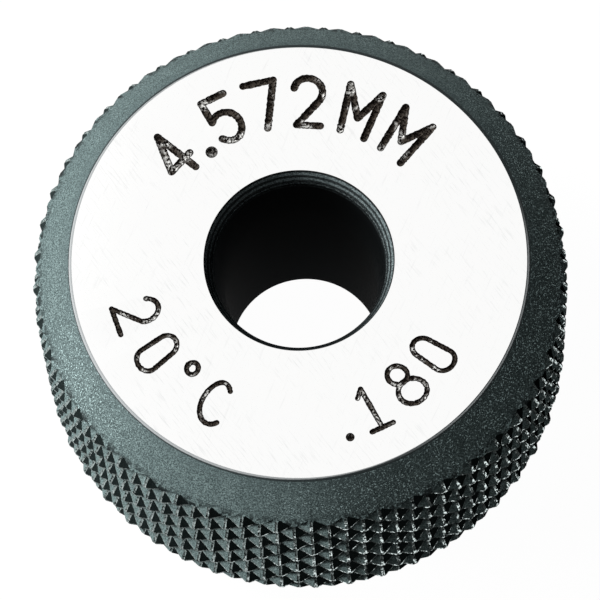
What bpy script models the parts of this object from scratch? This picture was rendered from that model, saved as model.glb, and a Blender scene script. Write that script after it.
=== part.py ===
"""Setting ring gauge, one piece of hardened steel.

The ring is turned from bar, knurled on its outside, blackened, and then
ground bright on both faces and lapped to size in its bore. It stands on its
lower face, with the bore along +Z, the lower face at Z = 0 and the face that
carries the size at the top.
"""

import math

import bmesh
import bpy
from mathutils import Matrix

MM = 0.001
INCH = 25.4 * MM

# Driving dimensions of the turned ring
GAUGE_BORE_DIAMETER = 0.180 * INCH
OUTER_DIAMETER = 0.625 * INCH
HEIGHT = 0.34375 * INCH
FACE_DIAMETER = 13.41 * MM
CHAMFER_HEIGHT = 1.28 * MM

# Driving dimensions of the mouths of the bore
MOUTH_DIAMETER = 5.63 * MM
MOUTH_CONE_ANGLE = math.radians(60)
LEAD_IN_DIAMETER = 5.17 * MM
LEAD_IN_ANGLE = math.radians(20)
REAR_MOUTH_DIAMETER = 5.03 * MM

# Driving dimensions of the diamond knurl, rolled by a pair of wheels
KNURL_WHEEL_PITCH = INCH / 33
KNURL_HELIX_ANGLE = math.radians(42.2)
KNURL_DEPTH = 0.23 * MM
TIP_BLUNTING = 0.07 * MM

# The knurl's rows, worked out from the ring that the wheels roll over
OUTER_RADIUS = OUTER_DIAMETER / 2
CIRCUMFERENCE = math.pi * OUTER_DIAMETER
DIAMONDS_AROUND = round(CIRCUMFERENCE * math.cos(KNURL_HELIX_ANGLE) / KNURL_WHEEL_PITCH)
COLUMNS = 2 * DIAMONDS_AROUND
COLUMN_ANGLE = 2 * math.pi / COLUMNS
ROW_STEP = CIRCUMFERENCE / COLUMNS / math.tan(KNURL_HELIX_ANGLE)

# How far the knurled bar reaches past each face of the ring, at least
BAR_OVERSHOOT = 0.5 * MM

MERGE_DISTANCE = 0.001 * MM
SHARP_ANGLE = math.radians(20)


def clear_scene():
    for item in list(bpy.data.objects):
        bpy.data.objects.remove(item, do_unlink=True)


def steel(name, colour, roughness):
    """A steel finish; colour is linear RGB."""
    material = bpy.data.materials.new(name)
    material.use_nodes = True
    shader = material.node_tree.nodes["Principled BSDF"]
    shader.inputs["Base Color"].default_value = (*colour, 1.0)
    shader.inputs["Metallic"].default_value = 1.0
    shader.inputs["Roughness"].default_value = roughness
    return material


def spin_full_turn(bm):
    """Spins all that the mesh holds about Z, one step to a column of the knurl."""
    profile = list(bm.verts) + list(bm.edges)
    bmesh.ops.spin(
        bm,
        geom=profile,
        cent=(0, 0, 0),
        axis=(0, 0, 1),
        angle=2 * math.pi,
        steps=COLUMNS,
        use_merge=True,
    )
    bmesh.ops.rotate(bm, verts=bm.verts, matrix=Matrix.Rotation(COLUMN_ANGLE / 2, 3, "Z"))


def new_object(name, bm):
    bmesh.ops.recalc_face_normals(bm, faces=bm.faces)
    mesh = bpy.data.meshes.new(name)
    bm.to_mesh(mesh)
    bm.free()
    item = bpy.data.objects.new(name, mesh)
    bpy.context.collection.objects.link(item)
    return item


def cone_depth(wide_diameter, narrow_diameter, included_angle):
    """Depth of a countersink that narrows from one diameter to the other."""
    return (wide_diameter - narrow_diameter) / 2 / math.tan(included_angle / 2)


def outside_outline():
    """The outside with its two chamfers, from the top face down."""
    return [
        (FACE_DIAMETER / 2, HEIGHT),
        (OUTER_RADIUS, HEIGHT - CHAMFER_HEIGHT),
        (OUTER_RADIUS, CHAMFER_HEIGHT),
        (FACE_DIAMETER / 2, 0),
    ]


def bore_outline():
    """The bore and its mouths, from the bottom face up."""
    rear_depth = cone_depth(REAR_MOUTH_DIAMETER, GAUGE_BORE_DIAMETER, MOUTH_CONE_ANGLE)
    mouth_depth = cone_depth(MOUTH_DIAMETER, LEAD_IN_DIAMETER, MOUTH_CONE_ANGLE)
    lead_in_depth = cone_depth(LEAD_IN_DIAMETER, GAUGE_BORE_DIAMETER, LEAD_IN_ANGLE)
    return [
        (REAR_MOUTH_DIAMETER / 2, 0),
        (GAUGE_BORE_DIAMETER / 2, rear_depth),
        (GAUGE_BORE_DIAMETER / 2, HEIGHT - mouth_depth - lead_in_depth),
        (LEAD_IN_DIAMETER / 2, HEIGHT - mouth_depth),
        (MOUTH_DIAMETER / 2, HEIGHT),
    ]


def turned_ring(name):
    """The ring as it leaves the lathe, before the knurl."""
    bm = bmesh.new()
    points = [bm.verts.new((radius, 0, height)) for radius, height in outside_outline() + bore_outline()]
    for start, end in zip(points, points[1:] + points[:1]):
        bm.edges.new((start, end))
    spin_full_turn(bm)
    return new_object(name, bm)


def split_along_grooves(bm, roots):
    """Splits each four-sided face between its two root corners, which lie in one groove."""
    for face in list(bm.faces):
        groove = [corner for corner in face.verts if corner in roots]
        bmesh.utils.face_split(face, *groove)


def knurled_bar(name):
    """A bar longer and thicker than the ring, with pointed diamonds all along it.

    Rows and columns form a grid in which every other corner is the tip of a
    diamond. The rest are sunk to the root of the knurl, where two grooves
    cross, so each diamond is a pyramid of four facets. The tips stand out of
    the turned ring, which cuts them blunt.
    """
    tip_radius = OUTER_RADIUS + TIP_BLUNTING
    root_radius = OUTER_RADIUS - KNURL_DEPTH
    rows = math.ceil((HEIGHT / 2 + BAR_OVERSHOOT) / ROW_STEP)
    bm = bmesh.new()
    column = [bm.verts.new((tip_radius, 0, row * ROW_STEP)) for row in range(-rows, rows + 1)]
    for lower, upper in zip(column, column[1:]):
        bm.edges.new((lower, upper))
    spin_full_turn(bm)

    roots = set()
    for corner in bm.verts:
        turn = math.atan2(corner.co.y, corner.co.x) - COLUMN_ANGLE / 2
        if round(turn / COLUMN_ANGLE + corner.co.z / ROW_STEP) % 2:
            roots.add(corner)
    split_along_grooves(bm, roots)

    sink = root_radius / tip_radius
    bmesh.ops.scale(bm, vec=(sink, sink, 1), verts=list(roots))
    bmesh.ops.holes_fill(bm, edges=bm.edges, sides=COLUMNS)
    bmesh.ops.translate(bm, vec=(0, 0, HEIGHT / 2), verts=bm.verts)
    return new_object(name, bm)


def keep_inside(item, shape):
    """Leaves only what of the item lies inside the shape, which then is a hidden cutter."""
    cut = item.modifiers.new("knurl", "BOOLEAN")
    cut.operation = "INTERSECT"
    cut.solver = "EXACT"
    cut.object = shape
    shape.hide_render = True
    shape.display_type = "WIRE"


def finish_faces(ring, blackened, ground):
    """Blackens the whole ring and leaves its two flat faces ground bright."""
    ring.data.materials.append(blackened)
    ring.data.materials.append(ground)
    for face in ring.data.polygons:
        if abs(face.normal.z) > math.cos(SHARP_ANGLE):
            face.material_index = 1


def gauge_ring(blackened, ground):
    ring = turned_ring("gauge_ring")
    finish_faces(ring, blackened, ground)
    ring.data.shade_smooth()
    ring.data.set_sharp_from_angle(angle=SHARP_ANGLE)

    bar = knurled_bar("knurled_bar")
    bar.data.materials.append(blackened)
    keep_inside(ring, bar)

    weld = ring.modifiers.new("weld", "WELD")
    weld.merge_threshold = MERGE_DISTANCE
    return ring


def main():
    clear_scene()
    blackened = steel("blackened steel", (0.09, 0.12, 0.12), 0.50)
    ground = steel("ground steel", (0.86, 0.87, 0.88), 0.30)
    gauge_ring(blackened, ground)


main()
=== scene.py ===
# %% [markdown]
# # A setting ring gauge
#
# A bore gauge is set to size on a small ring of hardened steel. The ring is turned, knurled
# so that fingers can hold it, and blackened. Then both faces are ground bright, and the size
# of its bore is engraved in one of them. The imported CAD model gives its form. This lesson
# builds the same ring once more with the details that CAD leaves out, and gives it finishes.

# %% The frame
import math

import bmesh
import bpy
from mathutils import Matrix, Vector, noise


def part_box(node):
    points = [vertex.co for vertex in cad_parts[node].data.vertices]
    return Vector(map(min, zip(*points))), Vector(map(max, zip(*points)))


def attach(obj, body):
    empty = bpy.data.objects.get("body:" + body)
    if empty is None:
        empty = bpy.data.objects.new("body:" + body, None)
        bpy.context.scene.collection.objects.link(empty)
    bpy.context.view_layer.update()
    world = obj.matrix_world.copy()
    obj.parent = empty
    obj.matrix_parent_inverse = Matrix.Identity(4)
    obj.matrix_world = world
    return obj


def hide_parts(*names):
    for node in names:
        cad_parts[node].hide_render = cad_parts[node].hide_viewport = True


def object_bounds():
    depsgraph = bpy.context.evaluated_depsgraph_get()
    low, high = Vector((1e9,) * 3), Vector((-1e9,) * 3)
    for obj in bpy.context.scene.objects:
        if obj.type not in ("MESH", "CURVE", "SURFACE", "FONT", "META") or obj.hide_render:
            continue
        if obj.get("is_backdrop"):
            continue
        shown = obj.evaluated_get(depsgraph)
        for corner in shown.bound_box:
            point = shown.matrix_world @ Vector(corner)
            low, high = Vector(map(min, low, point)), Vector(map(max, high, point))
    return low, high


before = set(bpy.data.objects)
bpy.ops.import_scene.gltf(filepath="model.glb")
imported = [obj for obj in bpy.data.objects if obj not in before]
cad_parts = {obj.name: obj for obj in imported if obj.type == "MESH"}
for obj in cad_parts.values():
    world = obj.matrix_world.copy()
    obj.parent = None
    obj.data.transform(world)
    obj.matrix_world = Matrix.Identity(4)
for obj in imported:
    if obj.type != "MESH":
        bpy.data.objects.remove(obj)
cad_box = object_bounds()
MM = 0.001
INCH = 25.4 * MM
low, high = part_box("gauge_ring")
print("CAD box in mm:", [round(size / MM, 3) for size in high - low])

# %% [markdown]
# ## Sizes
#
# The height and the diameter are read from the CAD model, and the rest repeats the sizes of
# the real ring. They stand here together because the finishes need them as well as the shapes:
# where a groove is dark or an edge is bright is a distance from the axis or from the face.

# %% Sizes
HEIGHT = high.z
OUTER_RADIUS = high.x
FACE_RADIUS = 6.705 * MM
CHAMFER_HEIGHT = 1.28 * MM
RIM_BREAK = 0.065 * MM

BORE_RADIUS = 0.180 * INCH / 2
MOUTH_RADIUS = 5.63 / 2 * MM
LEAD_IN_RADIUS = 5.17 / 2 * MM
REAR_MOUTH_RADIUS = 5.03 / 2 * MM
MOUTH_HALF_ANGLE = math.radians(30)
LEAD_IN_HALF_ANGLE = math.radians(10)
MOUTH_DEPTH = (MOUTH_RADIUS - LEAD_IN_RADIUS) / math.tan(MOUTH_HALF_ANGLE)
LEAD_IN_DEPTH = (LEAD_IN_RADIUS - BORE_RADIUS) / math.tan(LEAD_IN_HALF_ANGLE)
REAR_DEPTH = (REAR_MOUTH_RADIUS - BORE_RADIUS) / math.tan(MOUTH_HALF_ANGLE)

KNURL_DEPTH = 0.23 * MM
TIP_BLUNTING = 0.07 * MM
KNURL_HELIX_ANGLE = math.radians(42.2)
COLUMNS = 96
COLUMN_ANGLE = 2 * math.pi / COLUMNS
ROW_STEP = 2 * math.pi * OUTER_RADIUS / COLUMNS / math.tan(KNURL_HELIX_ANGLE)
print("mouth", round(MOUTH_DEPTH / MM, 3), "mm deep, rows of the knurl", round(ROW_STEP / MM, 3), "mm apart")

# %% [markdown]
# ## Camera
#
# The photograph was taken from far away with a long lens, 71 degrees above the horizon.
# Position, roll and focal length come from the outlines of the face, the bore and the knurl,
# which are circles in the real world and ellipses in the picture. A long lens far away keeps
# the lower rim of the ring nearly as large as the upper one.

# %% Camera
PICTURE_WIDTH = 600
FACE_RADIUS_IN_PIXELS = 227.95
CAMERA_ELEVATION = 1.2406
CAMERA_ROLL = -0.0782
FACE_RADIUS_OVER_DISTANCE = 0.039511
CAMERA_DISTANCE = FACE_RADIUS / FACE_RADIUS_OVER_DISTANCE
SIDEWAYS = -0.0095 * FACE_RADIUS
UPWARDS = -0.1753 * FACE_RADIUS

lens = bpy.data.cameras.new("camera")
lens.sensor_width = 36
lens.lens = lens.sensor_width * FACE_RADIUS_IN_PIXELS / PICTURE_WIDTH * CAMERA_DISTANCE / FACE_RADIUS
lens.clip_start = 0.01
lens.clip_end = 10
camera = bpy.data.objects.new("camera", lens)
bpy.context.scene.collection.objects.link(camera)

backwards = Vector((0, -math.cos(CAMERA_ELEVATION), math.sin(CAMERA_ELEVATION)))
rightwards = Vector((1, 0, 0))
upwards = backwards.cross(rightwards)
place = Vector((0, 0, HEIGHT)) + rightwards * SIDEWAYS + upwards * UPWARDS + backwards * CAMERA_DISTANCE
turn = Matrix((rightwards, upwards, backwards)).transposed() @ Matrix.Rotation(CAMERA_ROLL, 3, "Z")
camera.matrix_world = Matrix.Translation(place) @ turn.to_4x4()
bpy.context.scene.camera = camera
print("lens", round(lens.lens), "mm, camera", round(place.length / MM), "mm from the ring")

# %% [markdown]
# ## Shader maths
#
# A finish is arithmetic on a few patterns. Drawing it as a node tree hides the arithmetic, so
# this class wraps an output socket and lets Python's operators add the Math nodes. Everything
# that isn't arithmetic goes through one method, which adds a node of any type.

# %% Shader maths
class Wire:
    """An output socket of a node tree. Arithmetic on it adds Math nodes to that tree."""

    def __init__(self, socket):
        self.socket = socket
        self.tree = socket.id_data

    def node(self, kind, settings, inputs, output=0):
        """Adds a node: its settings first, then a value or a wire for each named socket."""
        made = self.tree.nodes.new(kind)
        for name, value in settings.items():
            setattr(made, name, value)
        for name, value in inputs.items():
            if isinstance(value, Wire):
                self.tree.links.new(value.socket, made.inputs[name])
            else:
                made.inputs[name].default_value = value
        return Wire(made.outputs[output])

    def math(self, operation, first, second):
        return self.node("ShaderNodeMath", {"operation": operation}, {0: first, 1: second})

    def __add__(self, other):
        return self.math("ADD", self, other)

    def __radd__(self, other):
        return self.math("ADD", other, self)

    def __sub__(self, other):
        return self.math("SUBTRACT", self, other)

    def __rsub__(self, other):
        return self.math("SUBTRACT", other, self)

    def __mul__(self, other):
        return self.math("MULTIPLY", self, other)

    def __rmul__(self, other):
        return self.math("MULTIPLY", other, self)

    def larger(self, other):
        return self.math("MAXIMUM", self, other)

    def wave(self, length):
        """Swings between -1 and 1, once in each length."""
        return self.node("ShaderNodeMath", {"operation": "SINE"}, {0: self * (2 * math.pi / length)})

    def step(self, start, end):
        """Rises smoothly from 0 where this is start to 1 where it is end."""
        sockets = {"Value": self, "From Min": start, "From Max": end}
        return self.node("ShaderNodeMapRange", {"interpolation_type": "SMOOTHSTEP"}, sockets)

    def along(self, axis):
        """The coordinate of this point on the axis "X", "Y" or "Z", in metres."""
        return self.node("ShaderNodeSeparateXYZ", {}, {"Vector": self}, output=axis)

    def noise(self, scale, detail=2.0, stretch=(1, 1, 1), angle=0.0):
        """Cloudy noise from 0 to 1 at this point; stretch multiplies the scale along each axis."""
        turned = self.node("ShaderNodeMapping", {}, {"Vector": self, "Rotation": (0, 0, angle)})
        placed = self.node("ShaderNodeMapping", {}, {"Vector": turned, "Scale": stretch})
        return self.node("ShaderNodeTexNoise", {}, {"Vector": placed, "Scale": scale, "Detail": detail})

    def mix(self, first, second):
        """A colour between two wires or linear RGB colours, by this as the share of the second."""
        ends = [colour if isinstance(colour, Wire) else (*colour, 1) for colour in (first, second)]
        return self.node("ShaderNodeMix", {"data_type": "RGBA"}, {0: self, 6: ends[0], 7: ends[1]}, output=2)

    def bump(self, distance, strength):
        """A normal tilted by this pattern; distance is how deep the pattern is, in metres."""
        sockets = {"Height": self, "Distance": distance, "Strength": strength}
        return self.node("ShaderNodeBump", {}, sockets)


def new_finish(name):
    """A material, its Principled shader, and the wire of its Object coordinates."""
    material = bpy.data.materials.new(name)
    material.use_nodes = True
    shader = material.node_tree.nodes["Principled BSDF"]
    coordinates = material.node_tree.nodes.new("ShaderNodeTexCoord")
    return material, shader, Wire(coordinates.outputs["Object"])


def wire_up(shader, sockets):
    """Links wires to the shader's sockets and sets plain numbers on them."""
    for name, value in sockets.items():
        if isinstance(value, Wire):
            value.tree.links.new(value.socket, shader.inputs[name])
        else:
            shader.inputs[name].default_value = value


def radius_of(point):
    """Distance from the axis of the bore, in metres."""
    flat = point.node("ShaderNodeVectorMath", {"operation": "MULTIPLY"}, {0: point, 1: (1, 1, 0)})
    return point.node("ShaderNodeVectorMath", {"operation": "LENGTH"}, {0: flat}, output=1)


# %% [markdown]
# ## Blackened steel
#
# Black oxide is a thin matt skin that grows on the steel. On the real ring it isn't an even
# black: grains some hundredths of a millimetre across make it sparkle, and the lathe's feed
# marks run round it. Hands darken it next to the face. Where the chamfer meets the knurl, the
# wheels have thrown up a burr, so the skin is chipped there.

# %% Blackened steel
def skin_patterns(point):
    """The grains of the skin and the feed marks of the lathe, both from 0 to 1."""
    grain = point.noise(26000, detail=1.0)
    sockets = {"W": radius_of(point), "Scale": 16000, "Detail": 2.0}
    feed = point.node("ShaderNodeTexNoise", {"noise_dimensions": "1D"}, sockets)
    return grain, feed


def skin_relief(grain, feed):
    return 0.7 * grain + 0.3 * feed


def oxide(point, hollow):
    """The colour of the skin, where bare grains sparkle in it, and its relief.

    The hollows between the grains have a colour of their own.
    """
    grain, feed = skin_patterns(point)
    skin = grain.step(0.38, 0.64).mix(hollow, (0.360, 0.490, 0.485))
    skin = (0.30 * point.noise(1400, detail=3.0).step(0.3, 0.7)).mix(skin, (0.150, 0.210, 0.212))
    skin = (0.25 * feed.step(0.45, 0.75)).mix(skin, (0.090, 0.126, 0.128))
    sparkle = 0.26 * point.noise(22000, detail=0.0).step(0.60, 0.72)
    return sparkle.mix(skin, (0.60, 0.76, 0.75)), sparkle, skin_relief(grain, feed)


blackened, shader, point = new_finish("blackened_steel")
radius = radius_of(point)
skin, sparkle, relief = oxide(point, hollow=(0.110, 0.152, 0.153))
handled = 1 - radius.step(FACE_RADIUS + 0.10 * MM, FACE_RADIUS + 0.50 * MM)
skin = (0.35 * handled).mix(skin, (0.155, 0.212, 0.218))
burr = radius.step(OUTER_RADIUS - 0.40 * MM, OUTER_RADIUS - 0.10 * MM)
chips = burr * point.noise(5200, detail=2.0).step(0.47, 0.56)
nicks = burr * point.noise(15000, detail=0.0).step(0.62, 0.72)
wire_up(shader, {
    "Base Color": chips.mix(skin, (0.020, 0.026, 0.027)),
    "Metallic": sparkle.larger(0.3 * nicks),
    "Roughness": 0.48,
    "Specular IOR Level": 0.03,
    "Normal": relief.bump(0.005 * MM, 0.5),
})
print("blackened steel:", len(blackened.node_tree.nodes), "nodes")

# %% [markdown]
# ## Finishes of the knurl
#
# The grooves of the knurl are painted darker as shade, and one flank of each pyramid is painted dark all
# round as shade. Hands rub its ridges and tips bare in spots. So the knurl gets three finishes. The distance
# from the axis tells a groove from a tip, and noise breaks up the bare spots. On the tips they are polished,
# and their glints are painted weaker towards the left, as highlight, so they are strongest on the right.

# %% Finishes of the knurl
def knurl_finish(name, painted_shade):
    """The skin in the knurl: painted shade darkens its grooves, and the second argument paints shade over
    all of it.
    """
    finish, shader, point = new_finish(name)
    skin, sparkle, relief = oxide(point, hollow=(0.120, 0.160, 0.158))
    # Painted shade: the skin darkens towards the groove floor, and the second argument darkens all of it.
    groove_floor = OUTER_RADIUS - KNURL_DEPTH - 0.005 * MM
    groove_shade = 1 - radius_of(point).step(groove_floor, groove_floor + 0.090 * MM)
    painted_dark = (0.8 * groove_shade).larger(painted_shade)
    wire_up(shader, {
        "Base Color": painted_dark.mix(skin, (0.020, 0.028, 0.028)),
        "Metallic": 0.2 * (1 - painted_shade) * sparkle,
        "Roughness": 0.55,
        "Specular IOR Level": 0.0,
        "Normal": relief.bump(0.007 * MM, 0.6),
    })
    return finish


knurled = knurl_finish("knurled_steel", painted_shade=0.0)
# One flank of each pyramid, painted dark all round as shade.
painted_flank_shade = knurl_finish("painted_shade_flanks", painted_shade=0.92)

worn, shader, point = new_finish("worn_ridges")
relief = skin_relief(*skin_patterns(point))
bare = point.noise(14000, detail=2.0).step(0.40, 0.54)
rubbed_skin = bare.mix((0.036, 0.048, 0.048), (0.39, 0.46, 0.45))
polish_and_painted_glints = point.noise(17000, detail=1.0).step(0.48, 0.54) * point.noise(4200, detail=1.0).step(0.46, 0.53)
polish_and_painted_glints = polish_and_painted_glints * radius_of(point).step(OUTER_RADIUS - 0.18 * MM, OUTER_RADIUS - 0.08 * MM)
# Painted highlight: the polished glints are weakened towards the left, so they are strongest on the right.
polish_and_painted_glints = polish_and_painted_glints * (0.3 + 0.7 * point.along("X").step(-5.0 * MM, 1.0 * MM))
wire_up(shader, {
    "Base Color": polish_and_painted_glints.mix(rubbed_skin, (0.80, 0.90, 0.89)),
    "Metallic": (0.02 * bare).larger(polish_and_painted_glints),
    "Roughness": 0.42,
    "Specular IOR Level": 0.0,
    "Normal": relief.bump(0.006 * MM, 0.6),
})
print("knurled steel:", len(knurled.node_tree.nodes), "nodes, worn ridges:", len(worn.node_tree.nodes))

# %% [markdown]
# ## Ground steel
#
# The faces are ground on a flat lap, so they are bright metal with fine scratches that all
# run nearly one way, and a few that cross them. A noise pattern squeezed across the scratches
# and drawn out along them is such a set of lines. It changes the roughness most, because a
# scratch is seen by how it scatters light.

# %% Ground steel
ground, shader, point = new_finish("ground_steel")
lay = point.noise(1, detail=3.0, stretch=(17000, 1500, 1500), angle=math.radians(-32))
cross = point.noise(1, detail=2.0, stretch=(15000, 1100, 1100), angle=math.radians(28))
patches = point.noise(420, detail=3.0)
deep = lay.step(0.52, 0.76) * patches.step(0.35, 0.65) + 0.5 * cross.step(0.60, 0.80)
wire_up(shader, {
    "Base Color": (0.5 * deep).mix((0.960, 0.960, 0.955), (0.74, 0.75, 0.75)),
    "Metallic": 1.0,
    "Roughness": 0.11 + 0.07 * lay + 0.05 * patches,
    "Normal": lay.bump(0.0015 * MM, 0.4),
})
print("ground steel:", len(ground.node_tree.nodes), "nodes")

# %% [markdown]
# ## Edge of the face
#
# The narrow edge between face and chamfer is ground pale. The pale band is painted off centre as light,
# wider on the lower left, so a dark line of painted shade stays outside it and is widest on the right. Near
# the lower right a fine bright line of painted highlight runs in it.

# %% Edge of the face
# Painted light: the pale band's centre is shifted, so it is wider on the lower left and leaves a dark line
# of painted shade, widest on the right.
PAINTED_LIGHT_SHIFT = (0.058 * MM, 0.016 * MM, 0)

rubbed_edge_and_painted_light, shader, point = new_finish("rubbed_edge_painted_light")
ragged = 0.012 * MM * point.noise(9000, detail=3.0)
shifted_for_light = point.node("ShaderNodeVectorMath", {"operation": "ADD"}, {0: point, 1: PAINTED_LIGHT_SHIFT})
pale_and_painted_light = 1 - (radius_of(shifted_for_light) + ragged).step(FACE_RADIUS + 0.020 * MM, FACE_RADIUS + 0.042 * MM)
outwards = radius_of(point) + ragged
# Painted highlight: a fine bright line, kept to the lower right.
painted_highlight_line = outwards.step(FACE_RADIUS + 0.022 * MM, FACE_RADIUS + 0.038 * MM)
painted_highlight_line = painted_highlight_line * (1 - outwards.step(FACE_RADIUS + 0.066 * MM, FACE_RADIUS + 0.082 * MM))
painted_highlight_line = painted_highlight_line * point.along("X").step(1.5 * MM, 4.5 * MM)
painted_highlight_line = painted_highlight_line * (1 - point.along("Y").step(-0.5 * MM, 2.0 * MM))
wire_up(shader, {
    "Base Color": pale_and_painted_light.larger(0.45 * painted_highlight_line).mix((0.060, 0.078, 0.080), (0.88, 0.92, 0.93)),
    "Metallic": 0.25 * painted_highlight_line,
    "Roughness": 0.45,
    "Specular IOR Level": 0.10,
})
print("rubbed edge:", len(rubbed_edge_and_painted_light.node_tree.nodes), "nodes")

# %% [markdown]
# ## Bore
#
# The wall of the bore is smooth, and painted near-black as shade. Its mouth keeps the skin, but the
# countersink's feed marks run round it as lines of that painted black, and the skin thins out into single
# specks further down. The skin is painted darker on the near side, as shade.

# %% Bore
FEED_PITCH = 0.165 * MM
FIRST_FEED_MARK = 0.085 * MM

bored, shader, point = new_finish("dark_bore")
depth = HEIGHT - point.along("Z")
grain = point.noise(26000, detail=1.0)
ragged = 0.9 * point.noise(3400, detail=3.0) + 0.9 * grain
bands = ((depth - FIRST_FEED_MARK).wave(FEED_PITCH) + ragged).step(0.4, 1.4)
skin = grain.step(0.38, 0.64).mix((0.120, 0.155, 0.160), (0.460, 0.560, 0.570))
specks = grain.step(0.44, 0.56) * (1 - depth.step(0.38 * MM, 0.70 * MM))
upper = specks.larger(1 - depth.step(0.34 * MM, 0.44 * MM))
shown = upper * (0.16 + 0.84 * bands) * depth.step(0.025 * MM, 0.065 * MM)
# Painted shade: the skin fades out towards the near side.
shown = shown * (0.10 + 0.90 * point.along("Y").step(-2.6 * MM, 0.2 * MM))
# The near-black colour is painted shade, on the wall and wherever the skin doesn't show.
wire_up(shader, {
    "Base Color": shown.mix((0.010, 0.012, 0.013), skin),
    "Roughness": 0.62,
    "Specular IOR Level": 0.005,
})
print("dark bore:", len(bored.node_tree.nodes), "nodes")

# %% [markdown]
# ## Engraving
#
# The figures are burnt into the face with a fine point: their edges are brown-black and rough,
# and bare specks of steel glint along the middle of each stroke. The middle is the lowest part
# of a stroke, so the height above the floor tells where it is.

# %% Engraving
burnt, shader, point = new_finish("burnt_engraving")
crust = point.noise(20000, detail=3.0)
floor_only = 1 - point.along("Z").step(HEIGHT - 0.057 * MM, HEIGHT - 0.040 * MM)
beads = floor_only * point.noise(15000, detail=2.0).step(0.42, 0.56)
glint = beads * point.noise(2600, detail=1.0).step(0.50, 0.64)
brown = beads.mix((0.0085, 0.0055, 0.0045), (0.180, 0.152, 0.126))
wire_up(shader, {
    "Base Color": glint.mix(brown, (0.62, 0.62, 0.60)),
    "Metallic": 0.8 * glint,
    "Roughness": 0.80 - 0.4 * glint,
    "Specular IOR Level": 0.10,
    "Normal": crust.bump(0.02 * MM, 0.7),
})
print("burnt engraving:", len(burnt.node_tree.nodes), "nodes")

# %% [markdown]
# ## The knurled bar
#
# A knurl is rolled: two wheels with slanted teeth press crossing grooves into the turning
# bar, and leave rows of small pyramids. Here a bar wider than the ring gets them first, and
# the turned ring is then cut out of it, which is the opposite order but gives the same edges.
# A grid is enough: every other corner stays out as a tip and the rest sink to the root. The
# real ridges aren't knife edges: the steel flows up on both sides of each and leaves two lips
# with a seam between. A bevel of two segments gives the lips, and its middle sinks for the seam.
# The bevel knows its own faces, so it marks them as worn. Every shape here gets the same list
# of finishes, because then a face keeps its mark when one shape is cut with another.

# %% The knurled bar
BAR_OVERSHOOT = 0.5 * MM
RIDGE_BEVEL = 0.050 * MM
CREST_SEAM = 0.030 * MM
FINISHES = [blackened, knurled, painted_flank_shade, worn, ground, bored, burnt, rubbed_edge_and_painted_light]


def spin_round(bm, steps):
    """Turns all that the mesh holds once round Z and closes it on itself."""
    swept = list(bm.verts) + list(bm.edges)
    bmesh.ops.spin(
        bm, geom=swept, cent=(0, 0, 0), axis=(0, 0, 1), angle=2 * math.pi, steps=steps, use_merge=True)
    bmesh.ops.rotate(bm, verts=bm.verts, matrix=Matrix.Rotation(COLUMN_ANGLE / 2, 3, "Z"))


def as_object(name, bm, finishes):
    """Ends the modelling: faces outwards, and the mesh into a new object with its finishes."""
    bmesh.ops.recalc_face_normals(bm, faces=bm.faces)
    mesh = bpy.data.meshes.new(name)
    bm.to_mesh(mesh)
    bm.free()
    for finish in finishes:
        mesh.materials.append(finish)
    item = bpy.data.objects.new(name, mesh)
    bpy.context.scene.collection.objects.link(item)
    return item


def knurled_bar():
    tip_radius = OUTER_RADIUS + TIP_BLUNTING
    rows = math.ceil((HEIGHT / 2 + BAR_OVERSHOOT) / ROW_STEP)
    bm = bmesh.new()
    column = [bm.verts.new((tip_radius, 0, row * ROW_STEP)) for row in range(-rows, rows + 1)]
    for lower, upper in zip(column, column[1:]):
        bm.edges.new((lower, upper))
    spin_round(bm, COLUMNS)

    roots = set()
    for corner in bm.verts:
        column_number = (math.atan2(corner.co.y, corner.co.x) - COLUMN_ANGLE / 2) / COLUMN_ANGLE
        if round(column_number + corner.co.z / ROW_STEP) % 2:
            roots.add(corner)
    for face in list(bm.faces):
        bmesh.utils.face_split(face, *[corner for corner in face.verts if corner in roots])

    sink = (OUTER_RADIUS - KNURL_DEPTH) / tip_radius
    bmesh.ops.scale(bm, vec=(sink, sink, 1), verts=list(roots))
    ridges = [edge for edge in bm.edges if len(roots.intersection(edge.verts)) == 1 and not edge.is_boundary]
    rounded = bmesh.ops.bevel(
        bm, geom=ridges, offset=RIDGE_BEVEL, segments=2, profile=0.5, affect="EDGES", material=-1)
    made = set(rounded["faces"])
    crest = [corner for corner in bm.verts if made.issuperset(corner.link_faces)]
    for corner in crest:
        corner.co.xy *= 1 - CREST_SEAM / tip_radius
    for face in made:
        face.material_index = FINISHES.index(worn)
    bmesh.ops.holes_fill(bm, edges=bm.edges, sides=0)
    bmesh.ops.translate(bm, vec=(0, 0, HEIGHT / 2), verts=bm.verts)
    return as_object("knurled_bar", bm, FINISHES)


bar = knurled_bar()
print("knurled bar:", len(bar.data.polygons), "faces")

# %% [markdown]
# ## The turned ring
#
# A lathe part is a profile spun round its axis. The profile's corners are worth the care: the
# grinder leaves a narrow bright edge between face and chamfer, and the countersink has rings
# of feed marks. The bevel operator rounds the corners of the open profile before the spin.

# %% The turned ring
FEED_RINGS = 3
FEED_MARK = 0.012 * MM
MERGE = 0.0005 * MM


def in_countersink(corner):
    return corner.co.x < MOUTH_RADIUS + MERGE and corner.co.z > HEIGHT - MOUTH_DEPTH - MERGE


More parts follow.
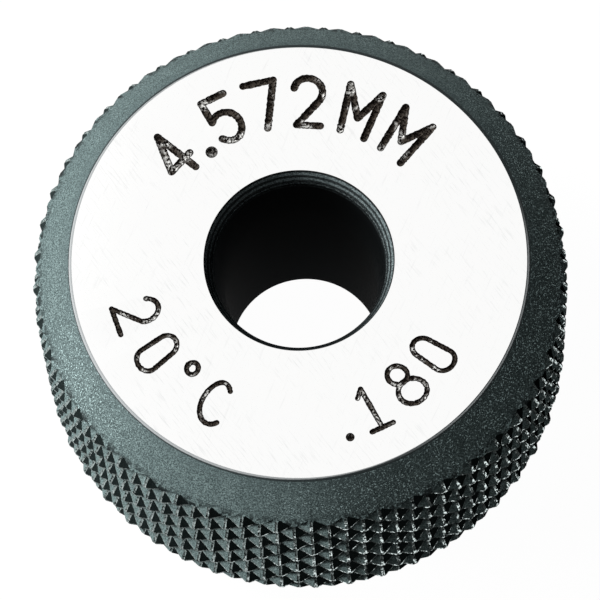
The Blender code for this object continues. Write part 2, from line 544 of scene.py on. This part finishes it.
def turned_ring():
    rim = FACE_RADIUS + RIM_BREAK
    outline = [
        (rim, HEIGHT),
        (OUTER_RADIUS, HEIGHT - CHAMFER_HEIGHT),
        (OUTER_RADIUS, CHAMFER_HEIGHT),
        (rim, 0),
        (REAR_MOUTH_RADIUS, 0),
        (BORE_RADIUS, REAR_DEPTH),
        (BORE_RADIUS, HEIGHT - MOUTH_DEPTH - LEAD_IN_DEPTH),
        (LEAD_IN_RADIUS, HEIGHT - MOUTH_DEPTH),
        (MOUTH_RADIUS, HEIGHT),
    ]
    bm = bmesh.new()
    corners = [bm.verts.new((radius, 0, height)) for radius, height in outline]
    for start, end in zip(corners, corners[1:] + corners[:1]):
        bm.edges.new((start, end))
    broken = [corners[0], corners[3]]
    bmesh.ops.bevel(
        bm, geom=broken, offset=RIM_BREAK, segments=3, profile=0.5, affect="VERTICES", material=-1)

    countersink = [edge for edge in bm.edges if all(in_countersink(end) for end in edge.verts)]
    bmesh.ops.subdivide_edges(bm, edges=countersink, cuts=2 * FEED_RINGS - 1)
    rings = [corner for corner in bm.verts
             if LEAD_IN_RADIUS + MERGE < corner.co.x < MOUTH_RADIUS - MERGE and corner.co.z > HEIGHT / 2]
    rings.sort(key=lambda corner: corner.co.z)
    bmesh.ops.translate(bm, vec=(FEED_MARK, 0, 0), verts=rings[::2])
    spin_round(bm, 2 * COLUMNS)
    return as_object("setting_ring", bm, FINISHES)


ring = turned_ring()
print("turned ring:", len(ring.data.polygons), "faces")

# %% [markdown]
# ## Strokes of the figures
#
# The face carries the size of the bore, written round it with a ball-ended cutter, so every
# stroke has round ends. A font would give outlines to fill. An engraver's figure is a path,
# so each figure is drawn as a few paths of lines and arcs in a box one high.

# %% Strokes of the figures
def arc(centre, radii, start, end, steps=14):
    """Points on an ellipse from one angle to another, in degrees from the right."""
    angles = [math.radians(start + (end - start) * step / steps) for step in range(steps + 1)]
    return [(centre[0] + radii[0] * math.cos(a), centre[1] + radii[1] * math.sin(a)) for a in angles]


def loop(centre, radii):
    """A closed ellipse: its last point is its first."""
    return arc(centre, radii, 0, 360, steps=24)


FIGURES = {
    ".": [[(0, 0.02)]],
    "0": [arc((0, 0.77), (0.24, 0.23), 0, 180) + arc((0, 0.23), (0.24, 0.23), 180, 360) + [(0.24, 0.77)]],
    "1": [[(-0.17, 0.83), (0, 1)], [(0, 1), (0, 0)], [(-0.22, 0), (0.23, 0)]],
    "2": [arc((0, 0.71), (0.27, 0.29), 165, -35), [(0.23, 0.55), (-0.28, 0)], [(-0.28, 0), (0.28, 0)]],
    "4": [[(0.13, 0), (0.13, 1)], [(0.13, 1), (-0.29, 0.30)], [(-0.29, 0.30), (0.29, 0.30)]],
    "5": [[(0.24, 1), (-0.19, 1)], [(-0.19, 1), (-0.23, 0.56)], arc((-0.01, 0.32), (0.30, 0.32), 138, -145)],
    "7": [[(-0.27, 1), (0.27, 1)], [(0.27, 1), (-0.08, 0)]],
    "8": [loop((0, 0.79), (0.235, 0.22)), loop((0, 0.30), (0.30, 0.29))],
    "C": [arc((0.02, 0.5), (0.30, 0.5), 50, 310, steps=24)],
    "M": [[(-0.30, 0), (-0.30, 1)], [(-0.30, 1), (0, 0.35)], [(0, 0.35), (0.30, 1)], [(0.30, 1), (0.30, 0)]],
    "°": [loop((0, 0.85), (0.14, 0.14))],
}
print("figures drawn:", " ".join(FIGURES))

# %% [markdown]
# ## Cutters for the engraving
#
# A tube along each path, with a ball at each end, is the space that the cutter sweeps. The
# tubes lie a little above the face, so they cut a shallow groove with a round floor. Words in
# the lower half read with their tops towards the bore, and the upper line has them outwards.
# Noise makes each tube waver in width, as a burnt edge does.

# %% Cutters for the engraving
FIGURE_HEIGHT = 1.34 * MM
LEAN = -0.065
CUTTER_LIFT = 0.022 * MM
POINT_SPACING = 0.05 * MM
WAVER = 0.22
WAVER_LENGTH = 0.06 * MM
STROKE_WELD = 0.00001 * MM
BALL = {"u_segments": 16, "v_segments": 8}
# Text, azimuth of each figure in degrees, radius of its foot in mm, height, cutter radius
LINES = [
    (".180", (281.0, 290.9, 305.2, 319.4), (5.70, 5.73, 5.65, 5.57), FIGURE_HEIGHT, 0.085 * MM),
    ("20°C", (195.0, 210.5, 223.5, 237.0), (5.70, 5.70, 5.70, 5.70), FIGURE_HEIGHT, 0.085 * MM),
    ("4.572MM", (134, 123, 112, 97, 82, 64, 46), 7 * (4.25,), -1.48 * MM, 0.118 * MM),
]


def on_face(figure_point, azimuth, foot, height):
    """Where a point of a figure lies on the face. A negative height turns its top outwards."""
    across, up = figure_point
    across += LEAN * up
    distance = foot - up * height
    angle = math.radians(azimuth) + across * height / (foot - height / 2)
    return Vector((distance * math.cos(angle), distance * math.sin(angle), HEIGHT + CUTTER_LIFT))


def even_steps(path, spacing):
    """The same path with more points, so that its edges can waver."""
    spots = [path[0]]
    for start, end in zip(path, path[1:]):
        parts = max(1, round((end - start).length / spacing))
        spots += [start.lerp(end, part / parts) for part in range(1, parts + 1)]
    return spots


def add_ball(bm, spot, radius):
    bmesh.ops.create_uvsphere(bm, **BALL, radius=radius, matrix=Matrix.Translation(spot))


def add_tube(bm, path, thickness):
    """Sweeps a wavering circle along a path of points, with balls over its two ends."""
    curve = bpy.data.curves.new("stroke", "CURVE")
    curve.dimensions = "3D"
    curve.bevel_depth = thickness
    curve.bevel_resolution = 6
    curve.use_fill_caps = True
    path = even_steps(path, POINT_SPACING)
    closed = (path[0] - path[-1]).length < MERGE
    points = path[:-1] if closed else path
    spline = curve.splines.new("POLY")
    spline.points.add(len(points) - 1)
    spline.use_cyclic_u = closed
    for node, spot in zip(spline.points, points):
        node.co = (*spot, 1)
        node.radius = 1 + WAVER * noise.noise(spot / WAVER_LENGTH)
    holder = bpy.data.objects.new("stroke", curve)
    bm.from_mesh(holder.to_mesh())
    bpy.data.objects.remove(holder)
    for spot in () if closed else (path[0], path[-1]):
        add_ball(bm, spot, thickness * 1.01)


def engraving_cutters():
    bm = bmesh.new()
    for text, azimuths, feet, height, thickness in LINES:
        for figure, azimuth, foot in zip(text, azimuths, feet):
            for stroke in FIGURES[figure]:
                path = [on_face(spot, azimuth, foot * MM, height) for spot in stroke]
                if len(path) == 1:
                    add_ball(bm, path[0], 1.6 * thickness)
                else:
                    add_tube(bm, path, thickness)
    bmesh.ops.remove_doubles(bm, verts=bm.verts, dist=STROKE_WELD)
    return as_object("engraving_cutters", bm, FINISHES)


strokes = engraving_cutters()
print("cutters:", len(strokes.data.polygons), "faces")

# %% [markdown]
# ## Cutting
#
# The ring is what the turned shape and the knurled bar have in common, minus the strokes.
# The exact solver keeps the result closed. The modifiers are applied at once, because the
# finishes are handed out by where each finished face lies.

# %% Cutting
def cut(item, operation, shape, crossing):
    """Combines the item with a shape, which is then deleted."""
    boolean = item.modifiers.new(operation.lower(), "BOOLEAN")
    boolean.operation = operation
    boolean.solver = "EXACT"
    boolean.use_self = crossing
    boolean.object = shape
    depsgraph = bpy.context.evaluated_depsgraph_get()
    made = bpy.data.meshes.new_from_object(item.evaluated_get(depsgraph))
    item.modifiers.clear()
    item.data = made
    bpy.data.objects.remove(shape)


cut(ring, "INTERSECT", bar, crossing=False)
print("knurled ring:", len(ring.data.polygons), "faces")
cut(ring, "DIFFERENCE", strokes, crossing=True)
print("engraved ring:", len(ring.data.polygons), "faces")

# %% [markdown]
# ## Handing out the finishes
#
# Blackening comes before grinding and engraving, so each later step bares or burns its own
# surface. A face's height, its distance from the axis and its slope say which step made it.
# The ridges are already marked, and the flanks that face one way round get the painted shade. The cuts leave
# a few doubled points and loose edges, which are welded and cleared away first.

# %% Handing out the finishes
SHARP_ANGLE = math.radians(24)
CHAMFER_NORMAL_Z = math.sin(math.atan2(OUTER_RADIUS - FACE_RADIUS - RIM_BREAK, CHAMFER_HEIGHT))
SLOPE_TOLERANCE = 0.02
FLAT_NORMAL_Z = 0.9999
FACE_MARGIN = 0.1 * MM
BLUNTED_BAND = 0.012 * MM


def finish_of(face):
    centre = face.calc_center_median()
    distance = math.hypot(centre.x, centre.y)
    flat = abs(face.normal.z) > FLAT_NORMAL_Z
    if distance < MOUTH_RADIUS and centre.z > REAR_DEPTH and not flat:
        return bored
    if flat and min(centre.z, HEIGHT - centre.z) < 2 * MERGE:
        return ground
    if MOUTH_RADIUS + FACE_MARGIN < distance < FACE_RADIUS - FACE_MARGIN:
        return burnt
    if FACE_RADIUS < distance < FACE_RADIUS + 1.6 * RIM_BREAK:
        return rubbed_edge_and_painted_light
    on_chamfer = abs(abs(face.normal.z) - CHAMFER_NORMAL_Z) < SLOPE_TOLERANCE and distance < OUTER_RADIUS
    if on_chamfer or distance < MOUTH_RADIUS:
        return blackened
    if distance > OUTER_RADIUS - BLUNTED_BAND or FINISHES[face.material_index] == worn:
        return worn
    # The flanks that face one way round get the painted shade.
    sideways = face.normal.y * centre.x - face.normal.x * centre.y
    return painted_flank_shade if sideways > 0 else knurled


bm = bmesh.new()
bm.from_mesh(ring.data)
bmesh.ops.remove_doubles(bm, verts=bm.verts, dist=MERGE)
bmesh.ops.dissolve_degenerate(bm, edges=bm.edges, dist=MERGE)
bmesh.ops.delete(bm, geom=[edge for edge in bm.edges if edge.is_wire], context="EDGES")
bmesh.ops.holes_fill(bm, edges=bm.edges, sides=0)
for face in bm.faces:
    face.material_index = FINISHES.index(finish_of(face))
open_edges = [edge for edge in bm.edges if not edge.is_manifold]
bm.to_mesh(ring.data)
bm.free()
ring.data.shade_smooth()
ring.data.set_sharp_from_angle(angle=SHARP_ANGLE)
print("ring:", len(ring.data.polygons), "faces,", len(open_edges), "open edges")

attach(ring, "root")
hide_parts("gauge_ring")

# %% [markdown]
# ## Floor and background
#
# The ring stands on white paper. A lamp strong enough to make paper white would wash out the
# object. So the camera, and mirrors and glass as well, see paper that glows almost white by
# itself. The rest of its brightness is real light, so it keeps the soft shadow of the ring.
# The world beyond the paper is white to the same rays, and nearly black to all others.

# %% Floor and background
def seen_directly(tree):
    """A wire that is 1 on rays from the camera, a mirror or glass, and 0 on all others."""
    rays = tree.nodes.new("ShaderNodeLightPath").outputs
    seen = Wire(rays["Is Camera Ray"]).larger(Wire(rays["Is Glossy Ray"]))
    return seen.larger(Wire(rays["Is Transmission Ray"]))


paper, shader = new_finish("white_paper")[:2]
seen = seen_directly(paper.node_tree)
wire_up(shader, {
    "Base Color": seen.mix((0.06, 0.06, 0.06), (0.10, 0.10, 0.10)),
    "Roughness": 0.9,
    "Specular IOR Level": 0.0,
    "Emission Color": seen.mix((0, 0, 0), (0.980, 0.980, 0.980)),
    "Emission Strength": 1.0,
})
bm = bmesh.new()
bmesh.ops.create_grid(bm, x_segments=1, y_segments=1, size=1.5)
floor = as_object("floor", bm, [paper])
floor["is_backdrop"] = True

world = bpy.data.worlds.new("studio")
world.use_nodes = True
bpy.context.scene.world = world
wire_up(world.node_tree.nodes["Background"], {
    "Color": seen_directly(world.node_tree).mix((0.004, 0.004, 0.004), (1, 1, 1)),
    "Strength": 1.0,
})
print("white paper:", len(paper.node_tree.nodes), "nodes")

# %% [markdown]
# ## Lights
#
# The photograph's light comes from low on the left, where it rakes over the knurl: one side of
# each pyramid is lit and the other stays dark. A small box near the floor gives that hard
# edge. A large one high above it models the chamfer, and a weak one in front keeps the near
# side from going black. A box is placed by its azimuth and height in degrees, and its strength
# is how bright it looks.

# %% Lights
LAMP_DISTANCE = 0.25


def soft_box(name, azimuth, elevation, width, height, strength):
    """An area lamp that faces the ring. Its power follows from its size."""
    lamp = bpy.data.lights.new(name, "AREA")
    lamp.shape = "RECTANGLE"
    lamp.size = width
    lamp.size_y = height
    lamp.energy = strength * math.pi * width * height
    item = bpy.data.objects.new(name, lamp)
    bpy.context.scene.collection.objects.link(item)
    raised = Matrix.Rotation(math.radians(-elevation), 4, "Y") @ Vector((LAMP_DISTANCE, 0, 0))
    direction = Matrix.Rotation(math.radians(azimuth), 4, "Z") @ raised
    facing = direction.to_track_quat("Z", "Y").to_matrix().to_4x4()
    item.matrix_world = Matrix.Translation(direction) @ facing
    print(name, "box:", round(lamp.energy, 4), "W")


soft_box("left", 187, 7, 0.06, 0.06, 36)
soft_box("shoulder", 150, 43, 0.14, 0.14, 4.7)
soft_box("front", 281, 7, 0.05, 0.04, 5.4)

view = bpy.context.scene.view_settings
view.view_transform = "Standard"

# %% [markdown]
# ## Sizes of the two boxes
#
# The ring of this lesson has to fit inside the CAD model's box, or a part placed against the box would cut
# into it. Both boxes are printed, so the two can be compared.

# %% Sizes of the two boxes
sizes = {"cad": [list(corner) for corner in cad_box], "visual": [list(corner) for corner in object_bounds()]}
for name, box in sizes.items():
    print(name, "box in mm:", [[round(size / MM, 3) for size in corner] for corner in box])
